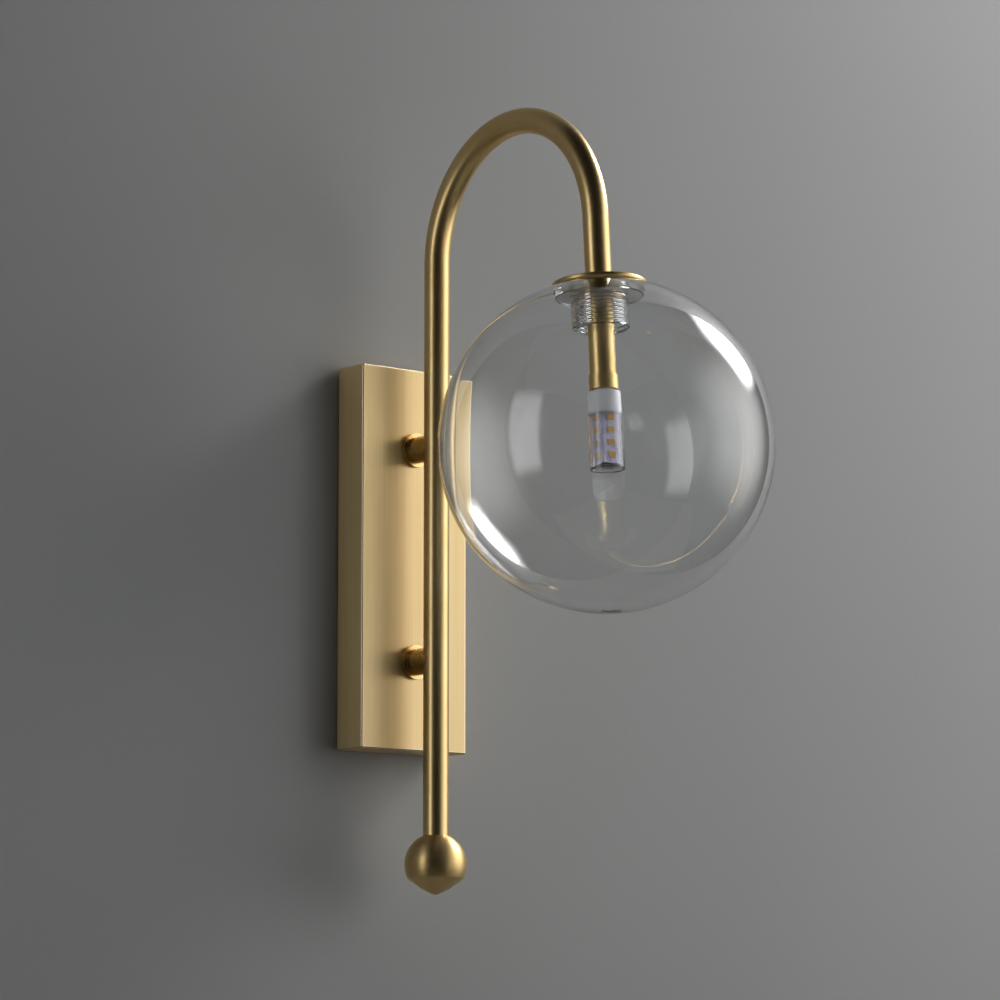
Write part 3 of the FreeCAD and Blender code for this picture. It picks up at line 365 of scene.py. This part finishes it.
# ---------------------------------------------------------------------------------------------------
# Cover screws: two small steel screws, flush in the box's top and bottom edges. They were cold headed
# with a round drive recess and zinc plated.
def finished(piece, body, slot, *replaced):
    """Names what a new piece rides on and stands for, with its normals outwards and no doubles."""
    work = bmesh.new()
    work.from_mesh(piece.data)
    bmesh.ops.remove_doubles(work, verts=work.verts, dist=1e-7)
    bmesh.ops.recalc_face_normals(work, faces=work.faces)
    work.to_mesh(piece.data)
    work.free()
    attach(piece, body)
    if replaced:
        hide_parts(*replaced)


def settle(piece, name, move):
    """Puts a piece's place into its mesh, so that its object stands at the origin, and names it."""
    piece.data.transform(move @ piece.matrix_world)
    piece.matrix_world = Matrix.Identity(4)
    piece.name = piece.data.name = name


def pick(mesh, keep):
    """In edit mode, selects only the faces that keep says yes to."""
    for face in mesh.faces:
        face.select_set(bool(keep(face)))
    mesh.select_flush_mode()


low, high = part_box("cover_screws")
screw_radius = (high.x - low.x) / 2
screw_spot = (low.y + high.y) / 2
screw_length, recess_depth = 0.0060, 0.0008
head_land, recess_lip = screw_radius * 0.45, screw_radius * 0.12
recess_taper, tip_taper = 0.35, 0.5
screws = []
for side in (1, -1):
    bpy.ops.object.select_all(action="DESELECT")
    bpy.ops.mesh.primitive_cylinder_add(vertices=48, radius=screw_radius, depth=screw_length)
    screw = bpy.context.object
    bpy.ops.object.mode_set(mode="EDIT")
    mesh = bmesh.from_edit_mesh(screw.data)
    pick(mesh, lambda face: face.normal.z > 0.9)
    bmesh.update_edit_mesh(screw.data)
    bpy.ops.mesh.inset(thickness=head_land, depth=0.0)
    bpy.ops.mesh.inset(thickness=recess_lip, depth=0.0)
    bpy.ops.mesh.extrude_region_move(TRANSFORM_OT_translate={"value": (0, 0, -recess_depth)})
    bpy.ops.transform.resize(value=(recess_taper, recess_taper, 1.0), center_override=(0, 0, 0))
    bpy.ops.mesh.select_all(action="DESELECT")
    mesh = bmesh.from_edit_mesh(screw.data)
    pick(mesh, lambda face: face.normal.z < -0.9)
    bmesh.update_edit_mesh(screw.data)
    bpy.ops.transform.resize(value=(tip_taper, tip_taper, 1.0), center_override=(0, 0, 0))
    bpy.ops.object.mode_set(mode="OBJECT")
    bpy.ops.object.shade_smooth_by_angle(angle=math.radians(25))
    flip = Matrix.Rotation(0 if side > 0 else math.pi, 4, "X")
    middle = Matrix.Translation((0, screw_spot, side * (high.z - screw_length / 2)))
    settle(screw, "cover_screw_top" if side > 0 else "cover_screw_bottom", middle @ flip)
    screw.data.materials.append(zinc)
    screws.append(screw)
for screw in screws:
    finished(screw, "fixed_frame", "zinc_steel", "cover_screws")

# ---------------------------------------------------------------------------------------------------
# Stand-off sleeves, their flanges, the cap, the collar and the ball: turned from brass bar and satined
# on the lathe, which leaves very fine rings round each piece's own axis. The pieces that stand out from
# the wall are smoother than the upright ones, so the lights show in them more sharply.
outward_rings, upright_rings = (150.0, 1800.0, 150.0), (150.0, 150.0, 1800.0)
for run, axis, drag, dull, scale, names in (
    ("outward", "Y", 0.1, 0.22, outward_rings, ("upper_standoff", "lower_standoff")),
    ("outward_flange", "Y", 0.1, 0.2, outward_rings, ("upper_standoff_flange", "lower_standoff_flange")),
    ("upright", "Z", 0.6, 0.38, upright_rings, ("cap_disc", "socket_collar", "finial_ball")),
):
    lathe_brass, tree = blank("lathe_satined_brass_" + run)
    place = add(tree, "TexCoord")
    stretch = add(tree, "Mapping", Vector=(place, "Object"), Scale=scale)
    # rings 0.5 mm apart, coarser than the real ones so that they show, and tarnish in 14 mm clouds
    rings = add(tree, "TexNoise", Vector=(stretch, 0), Scale=1.0, Detail=3.0)
    film = add(tree, "TexNoise", Vector=(place, "Object"), Scale=70.0, Detail=4.0)
    tone = add(tree, "ValToRGB", Fac=(film, 0))
    tone.color_ramp.elements[0].position, tone.color_ramp.elements[1].position = 0.3, 0.75
    tone.color_ramp.elements[0].color = linear("#E5C98F")
    tone.color_ramp.elements[1].color = linear("#DDBC7C")
    gloss = add(
        tree, "MapRange", Value=(rings, 0), From_Min=0.3, From_Max=0.7, To_Min=dull, To_Max=dull + 0.08
    )
    relief = add(tree, "Bump", Height=(rings, 0), Strength=0.06, Distance=0.0001)
    around = add(tree, "Tangent", {"direction_type": "RADIAL", "axis": axis})
    surface(
        tree,
        add(
            tree,
            "BsdfPrincipled",
            Base_Color=(tone, 0),
            Roughness=(gloss, 0),
            Normal=(relief, 0),
            Tangent=(around, 0),
            Anisotropic=drag,
            Anisotropic_Rotation=0.25,
            Metallic=1.0,
        ),
    )
    dress(lathe_brass, *names)

# ---------------------------------------------------------------------------------------------------
# Arm tube and socket tube: drawn brass tube, bent round a former, then satined with fine wool along
# its length. It is smoother than the box, so lights show in it as long soft-edged lines.
tube_brass, tree = blank("wool_satined_brass_tube")
place = add(tree, "TexCoord")
stretch = add(tree, "Mapping", Vector=(place, "Object"), Scale=(1500.0, 1500.0, 130.0))
# wool lines 0.7 mm wide and 8 mm long, coarser than real, and tarnish in clouds 20 mm wide
wool = add(tree, "TexNoise", Vector=(stretch, 0), Scale=1.0, Detail=3.0)
film = add(tree, "TexNoise", Vector=(place, "Object"), Scale=45.0, Detail=4.0)
tone = add(tree, "ValToRGB", Fac=(film, 0))
tone.color_ramp.elements[0].position, tone.color_ramp.elements[1].position = 0.3, 0.75
tone.color_ramp.elements[0].color, tone.color_ramp.elements[1].color = linear("#E6CA92"), linear("#DEBD7E")
gloss = add(tree, "MapRange", Value=(wool, 0), From_Min=0.3, From_Max=0.7, To_Min=0.30, To_Max=0.36)
relief = add(tree, "Bump", Height=(wool, 0), Strength=0.04, Distance=0.0001)
surface(
    tree,
    add(
        tree, "BsdfPrincipled", Base_Color=(tone, 0), Roughness=(gloss, 0), Normal=(relief, 0), Metallic=1.0
    ),
)
dress(tube_brass, "arm_tube", "socket_tube")

# ---------------------------------------------------------------------------------------------------
# Globe seal: a washer punched from clear silicone sheet. It is milky, soft and slightly frosted, and
# shows as a thin pale line between the cap and the glass.
silicone, tree = blank("clear_silicone_sheet")
place = add(tree, "TexCoord")
bloom = add(tree, "TexNoise", Vector=(place, "Object"), Scale=500.0, Detail=3.0)
frost = add(tree, "MapRange", Value=(bloom, 0), To_Min=0.25, To_Max=0.45)
milky = add(
    tree,
    "BsdfPrincipled",
    Base_Color=linear("#F1F2F0"),
    Roughness=(frost, 0),
    IOR=1.41,
    Transmission_Weight=0.75,
)
path = add(tree, "LightPath")
open_way = add(tree, "BsdfTransparent", Color=linear("#E4E4E4"))
surface(tree, add(tree, "MixShader", n0=(path, "Is Shadow Ray"), n1=(milky, 0), n2=(open_way, 0)))
dress(silicone, "globe_seal")

# ---------------------------------------------------------------------------------------------------
# Glass globe: a ball of clear glass blown thin, fused to a pressed collar with a flange and a threaded
# neck. Blowing leaves long, very shallow waves. Lamps shine through it with hardly any loss. Its specular
# level makes reflections about twice as strong as plain glass gives, to match the lights seen in it.
blown_glass, tree = blank("blown_clear_glass")
place = add(tree, "TexCoord")
waves = add(tree, "TexNoise", Vector=(place, "Object"), Scale=22.0, Detail=1.0)  # waves 45 mm long
relief = add(tree, "Bump", Height=(waves, 0), Strength=0.25, Distance=0.0006)
dust = add(tree, "TexNoise", Vector=(place, "Object"), Scale=35.0, Detail=6.0)
film = add(tree, "MapRange", Value=(dust, 0), From_Min=0.45, From_Max=0.8, To_Min=0.0, To_Max=0.02)
clear = add(
    tree,
    "BsdfPrincipled",
    Base_Color=linear("#FCFDFD"),
    Roughness=(film, 0),
    IOR=1.52,
    Specular_IOR_Level=1.0,
    Transmission_Weight=1.0,
    Normal=(relief, 0),
)
path = add(tree, "LightPath")
open_way = add(tree, "BsdfTransparent", Color=linear("#F6F7F7"))
surface(tree, add(tree, "MixShader", n0=(path, "Is Shadow Ray"), n1=(clear, 0), n2=(open_way, 0)))
dress(blown_glass, "glass_globe")

# ---------------------------------------------------------------------------------------------------
# Pontil mark: where the blowing iron's rod was cracked off, the ball keeps a small fire-polished pip,
# a little to one side of the point opposite the neck. It is the same glass as the ball.
low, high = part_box("glass_globe")
globe_radius, leg_splay = 0.075, math.radians(3.83)
leg_down = Vector((0, -math.sin(leg_splay), -math.cos(leg_splay)))
globe_centre = Vector(((low.x + high.x) / 2, high.y - globe_radius, low.z + globe_radius))
pip_radius, pip_rise, pip_stretch, pip_sunk = 0.0017, 0.0006, 1.25, 0.00005
pip_side, pip_angle = Vector((0.782, -0.623, 0.0)), math.radians(-3.1)
outwards = (leg_down + pip_side * pip_angle).normalized()
bpy.ops.object.select_all(action="DESELECT")
bpy.ops.mesh.primitive_uv_sphere_add(segments=48, ring_count=24, radius=pip_radius)
pip = bpy.context.object
bpy.ops.object.mode_set(mode="EDIT")
bpy.ops.mesh.select_all(action="SELECT")
bpy.ops.mesh.bisect(plane_co=(0, 0, 0), plane_no=(0, 0, 1), clear_inner=True, use_fill=True)
bpy.ops.mesh.select_all(action="SELECT")
bpy.ops.transform.resize(value=(1.0, pip_stretch, pip_rise / pip_radius), center_override=(0, 0, 0))
bpy.ops.object.mode_set(mode="OBJECT")
bpy.ops.object.shade_smooth_by_angle(angle=math.radians(40))
stand = Matrix.Translation(globe_centre + outwards * (globe_radius - pip_sunk))
settle(pip, "pontil_pip", stand @ outwards.to_track_quat("Z", "Y").to_matrix().to_4x4())
pip.data.materials.append(blown_glass)
finished(pip, "globe", "clear_glass")

# ---------------------------------------------------------------------------------------------------
# Lampholder core: pressed and fired steatite, off-white and very slightly speckled, with a dull glaze.
ceramic, tree = blank("fired_steatite")
place = add(tree, "TexCoord")
specks = add(tree, "TexVoronoi", Vector=(place, "Object"), Scale=1200.0)
tone = add(tree, "ValToRGB", Fac=(specks, "Distance"))
tone.color_ramp.elements[0].color, tone.color_ramp.elements[1].color = linear("#D5D2CA"), linear("#E9E7E1")
surface(tree, add(tree, "BsdfPrincipled", Base_Color=(tone, 0), Roughness=0.5))
dress(ceramic, "lampholder_core")

# ---------------------------------------------------------------------------------------------------
# LED capsule base: white polycarbonate with a fine moulded grain, on two bright nickelled steel pins.
# Light enters the plastic a little, which softens its shaded side.
white_pc, tree = blank("moulded_white_polycarbonate")
place = add(tree, "TexCoord")
grain = add(tree, "TexNoise", Vector=(place, "Object"), Scale=1400.0, Detail=2.0)
haze = add(tree, "TexNoise", Vector=(place, "Object"), Scale=160.0, Detail=3.0)
tone = add(tree, "ValToRGB", Fac=(haze, 0))
tone.color_ramp.elements[0].color, tone.color_ramp.elements[1].color = linear("#D3D2D6"), linear("#DEDDE1")
relief = add(tree, "Bump", Height=(grain, 0), Strength=0.1, Distance=0.0001)
surface(
    tree,
    add(
        tree,
        "BsdfPrincipled",
        Base_Color=(tone, 0),
        Roughness=0.38,
        Normal=(relief, 0),
        Subsurface_Weight=0.35,
        Subsurface_Radius=(0.004, 0.004, 0.004),
        Subsurface_Scale=0.8,
    ),
)
dress(white_pc, "bulb_base")

pin_nickel, tree = blank("nickelled_steel_pins")
place = add(tree, "TexCoord")
drawn = add(tree, "TexNoise", Vector=(place, "Object"), Scale=1500.0, Detail=2.0)
gloss = add(tree, "MapRange", Value=(drawn, 0), To_Min=0.12, To_Max=0.25)
tone = add(tree, "ValToRGB", Fac=(drawn, 0))
tone.color_ramp.elements[0].color, tone.color_ramp.elements[1].color = linear("#CFCBC2"), linear("#DEDAD2")
surface(tree, add(tree, "BsdfPrincipled", Base_Color=(tone, 0), Roughness=(gloss, 0), Metallic=1.0))
dress(pin_nickel, "bulb_pins")

# ---------------------------------------------------------------------------------------------------
# LED boards: four strips of circuit board soldered into a square, with a white solder resist that looks
# a little violet, copper tracks under it as faint darker lines, and a dark brown band at the foot.
board_foot = -0.0094  # the boards' lower end, above the globe's centre along the leg
dark_band_end, resist_edge = 0.0006, 0.0008  # above the foot, where the dark band ends and the white is full
resist, tree = blank("violet_white_solder_resist")
place = add(tree, "TexCoord")
from_centre = add(tree, "VectorMath", {"operation": "SUBTRACT"}, n0=(place, "Object"), n1=globe_centre)
height = add(tree, "VectorMath", {"operation": "DOT_PRODUCT"}, n0=(from_centre, 0), n1=-leg_down)
# the boards turn dark brown in a narrow band at their foot
dark_band = add(
    tree,
    "MapRange",
    Value=(height, "Value"),
    From_Min=board_foot + dark_band_end,
    From_Max=board_foot + resist_edge,
)
tracks = add(tree, "Mapping", Vector=(place, "Object"), Scale=(900.0, 900.0, 260.0))
copper = add(tree, "TexVoronoi", {"distance": "CHEBYCHEV"}, Vector=(tracks, 0), Scale=1.0)
line = add(tree, "MapRange", Value=(copper, "Distance"), From_Min=0.30, From_Max=0.55)
tone = add(
    tree, "Mix", {"data_type": "RGBA"}, n0=(line, 0), n6=linear("#C2BBD2"), n7=linear("#DEDAE6")
)
edge = add(tree, "Mix", {"data_type": "RGBA"}, n0=(dark_band, 0), n6=linear("#1C140C"), n7=(tone, 2))
surface(tree, add(tree, "BsdfPrincipled", Base_Color=(edge, 2), Roughness=0.45))
dress(resist, "bulb_boards")

# ---------------------------------------------------------------------------------------------------
# LED chips: sixteen small white packages, four on each board, each with a sunk window of yellow
# phosphor set in silicone. One is modelled and the rest are copies of it.
package, tree = blank("white_chip_package")
place = add(tree, "TexCoord")
grain = add(tree, "TexNoise", Vector=(place, "Object"), Scale=2500.0)
tone = add(tree, "ValToRGB", Fac=(grain, 0))
tone.color_ramp.elements[0].color, tone.color_ramp.elements[1].color = linear("#CBC6B4"), linear("#DAD6C6")
surface(tree, add(tree, "BsdfPrincipled", Base_Color=(tone, 0), Roughness=0.4))

phosphor, tree = blank("yellow_phosphor")
place = add(tree, "TexCoord")
powder = add(tree, "TexNoise", Vector=(place, "Object"), Scale=1800.0, Detail=3.0)
tone = add(tree, "ValToRGB", Fac=(powder, 0))
tone.color_ramp.elements[0].color, tone.color_ramp.elements[1].color = linear("#DE9A14"), linear("#EDBE3C")
surface(tree, add(tree, "BsdfPrincipled", Base_Color=(tone, 0), Roughness=0.3, Coat_Weight=0.4))

chip_width, chip_depth, chip_height, chip_rounding = 0.0035, 0.0007, 0.0028, 0.00012
window_rim, window_slope, window_sink = 0.00010, 0.00006, 0.00012
board_face, chip_aside = 0.0043, -0.0004  # from the lamp's axis to a board's face and to a chip's middle
chip_levels = [0.0118, 0.0062, 0.0006, -0.0050]
lamp_turn = math.radians(6.5)
lean = Matrix.Rotation(-leg_splay, 4, "X")
lamp_stand = Matrix.Translation(globe_centre) @ lean @ Matrix.Rotation(-lamp_turn, 4, "Z")

bpy.ops.object.select_all(action="DESELECT")
bpy.ops.mesh.primitive_cube_add(size=1.0)
chip = bpy.context.object
bpy.ops.object.mode_set(mode="EDIT")
bpy.ops.transform.resize(value=(chip_width, chip_depth, chip_height), center_override=(0, 0, 0))
bpy.ops.mesh.bevel(offset=chip_rounding, segments=2, affect="EDGES")
mesh = bmesh.from_edit_mesh(chip.data)
pick(mesh, lambda face: face.normal.y < -0.99)
bmesh.update_edit_mesh(chip.data)
bpy.ops.mesh.inset(thickness=window_rim, depth=0.0)
bpy.ops.mesh.inset(thickness=window_slope, depth=-window_sink)
bpy.ops.object.mode_set(mode="OBJECT")
chip.data.materials.append(package)
chip.data.materials.append(phosphor)
for face in chip.data.polygons:
    if face.normal.y < -0.99 and face.center.y > (window_sink - chip_depth) / 2:
        face.material_index = 1
chip_mesh = chip.data.copy()
chips = []
for side in range(4):
    for row, level in enumerate(chip_levels):
        made = chip
        if chips:
            made = bpy.data.objects.new("chip", chip_mesh.copy())
            bpy.context.scene.collection.objects.link(made)
        spot = Matrix.Translation((chip_aside, -board_face - chip_depth / 2, level))
        turn = Matrix.Rotation(side * math.pi / 2, 4, "Z")
        settle(made, f"led_chip_{side + 1}_{row + 1}", lamp_stand @ turn @ spot)
        chips.append(made)
for chip in chips:
    finished(chip, "lamp", "led_phosphor", "bulb_chips")

# ---------------------------------------------------------------------------------------------------
# Capsule cover: a clear polycarbonate cup pushed over the boards. Its foot is moulded thicker, with a
# rounded rim and a ring, where small bright lumps of light gather.
cover_radius, cover_wall, rim_rounding = 0.00785, 0.0008, 0.00035
cover_top, cover_foot = 0.0144, -0.0112  # above the globe's centre along the leg
foot_steps = (  # from the outer edge to the middle: how far in, and how far out (+) or back (-)
    (0.0012, 0.0),
    (0.0007, -0.0005),
    (0.0012, 0.0),
    (0.0009, 0.0005),
    (0.0012, 0.0),
    (0.0012, 0.0001),
)
clear_pc, tree = blank("moulded_clear_polycarbonate")
place = add(tree, "TexCoord")
stretch = add(tree, "Mapping", Vector=(place, "Object"), Scale=(500.0, 500.0, 60.0))
flow = add(tree, "TexNoise", Vector=(stretch, 0), Scale=1.0, Detail=2.0)  # flow lines, 2 mm wide
relief = add(tree, "Bump", Height=(flow, 0), Strength=0.3, Distance=0.0002)
glassy = add(
    tree,
    "BsdfPrincipled",
    Base_Color=linear("#F7F6FA"),
    Roughness=0.03,
    IOR=1.55,
    Specular_IOR_Level=0.8,
    Transmission_Weight=1.0,
    Normal=(relief, 0),
)
path = add(tree, "LightPath")
open_way = add(tree, "BsdfTransparent", Color=linear("#F0F0F2"))
surface(tree, add(tree, "MixShader", n0=(path, "Is Shadow Ray"), n1=(glassy, 0), n2=(open_way, 0)))

bpy.ops.object.select_all(action="DESELECT")
bpy.ops.mesh.primitive_cylinder_add(
    vertices=96,
    radius=cover_radius,
    depth=cover_top - cover_foot,
    location=(0, 0, (cover_top + cover_foot) / 2),
)
cover = bpy.context.object
bpy.ops.object.mode_set(mode="EDIT")
mesh = bmesh.from_edit_mesh(cover.data)
pick(mesh, lambda face: face.normal.z < -0.99)
bmesh.update_edit_mesh(cover.data)
for inwards, step in foot_steps:
    bpy.ops.mesh.inset(thickness=inwards, depth=step)
bpy.ops.mesh.select_all(action="DESELECT")
mesh = bmesh.from_edit_mesh(cover.data)
pick(mesh, lambda face: face.normal.z > 0.99 and face.calc_center_median().z > 0)
bmesh.update_edit_mesh(cover.data)
bpy.ops.mesh.delete(type="ONLY_FACE")
bpy.ops.object.mode_set(mode="OBJECT")
round_rim = cover.modifiers.new("round_rim", "BEVEL")
round_rim.width, round_rim.segments = rim_rounding, 4
round_rim.limit_method, round_rim.angle_limit = "ANGLE", math.radians(40)
wall = cover.modifiers.new("wall", "SOLIDIFY")
wall.thickness, wall.offset = cover_wall, -1.0
for modifier in ("round_rim", "wall"):
    bpy.ops.object.modifier_apply(modifier=modifier)
bpy.ops.object.shade_smooth_by_angle(angle=math.radians(35))
settle(cover, "capsule_cover", lamp_stand)
cover.data.materials.append(clear_pc)
finished(cover, "lamp", "clear_lens", "bulb_lens")
